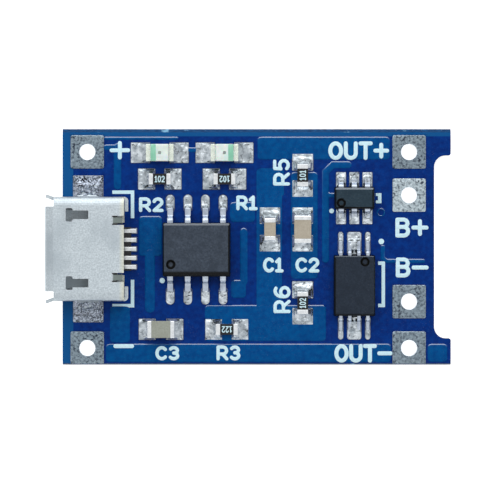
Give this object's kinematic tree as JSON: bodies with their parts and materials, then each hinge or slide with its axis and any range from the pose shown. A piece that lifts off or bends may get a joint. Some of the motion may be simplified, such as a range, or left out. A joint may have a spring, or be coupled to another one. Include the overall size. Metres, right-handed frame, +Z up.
{
  "type": "lithium battery charger module",
  "caption": "Flat blue circuit board that charges and protects one lithium cell, with a micro charging socket at one end, chips, small chip parts and plated solder terminals.",
  "frame": {"origin": "centre of the board's outline, on its underside", "axes": "+X from the charging socket to the output end, +Y to the edge with the lamps, +Z up through the board to the parts"},
  "size_m": [0.0292, 0.017, 0.0038],
  "materials": {
    "board": "blue solder mask over laminate and copper, gloss",
    "print": "white screen print",
    "solder": "bright tin solder, uneven",
    "shell": "plated sheet steel, satin",
    "housing": "black moulded plastic",
    "contacts": "tinned spring bronze",
    "chip": "fine matt black moulding",
    "leads": "matt tin",
    "lens": "milky clear resin",
    "lamp_base": "white laminate",
    "ends": "tinned metal ends",
    "capacitor": "fired ceramic, tan",
    "resistor": "black glass coat on white ceramic"
  },
  "bodies": {
    "root": {"circuit_board": "board", "legend_marks": "print", "in_plus_terminal": "solder", "in_minus_terminal": "solder", "out_plus_terminal": "solder", "out_minus_terminal": "solder", "battery_plus_terminal": "solder", "battery_minus_terminal": "solder", "socket_shell": "shell", "socket_insulator": "housing", "socket_contacts": "contacts", "socket_contact_pads": "solder", "socket_anchor_solder": "solder", "charger_body": "chip", "charger_leads": "leads", "charger_solder": "solder", "protector_body": "chip", "protector_leads": "leads", "protector_solder": "solder", "switch_body": "chip", "switch_leads": "leads", "switch_solder": "solder", "left_lamp_base": "lamp_base", "left_lamp_lens": "lens", "left_lamp_ends": "ends", "left_lamp_solder": "solder", "right_lamp_base": "lamp_base", "right_lamp_lens": "lens", "right_lamp_ends": "ends", "right_lamp_solder": "solder", "r1_body": "resistor", "r1_ends": "ends", "r1_solder": "solder", "r2_body": "resistor", "r2_ends": "ends", "r2_solder": "solder", "r3_body": "resistor", "r3_ends": "ends", "r3_solder": "solder", "r5_body": "resistor", "r5_ends": "ends", "r5_solder": "solder", "r6_body": "resistor", "r6_ends": "ends", "r6_solder": "solder", "c1_body": "capacitor", "c1_ends": "ends", "c1_solder": "solder", "c2_body": "capacitor", "c2_ends": "ends", "c2_solder": "solder", "c3_body": "capacitor", "c3_ends": "ends", "c3_solder": "solder"}
  },
  "joints": []
}
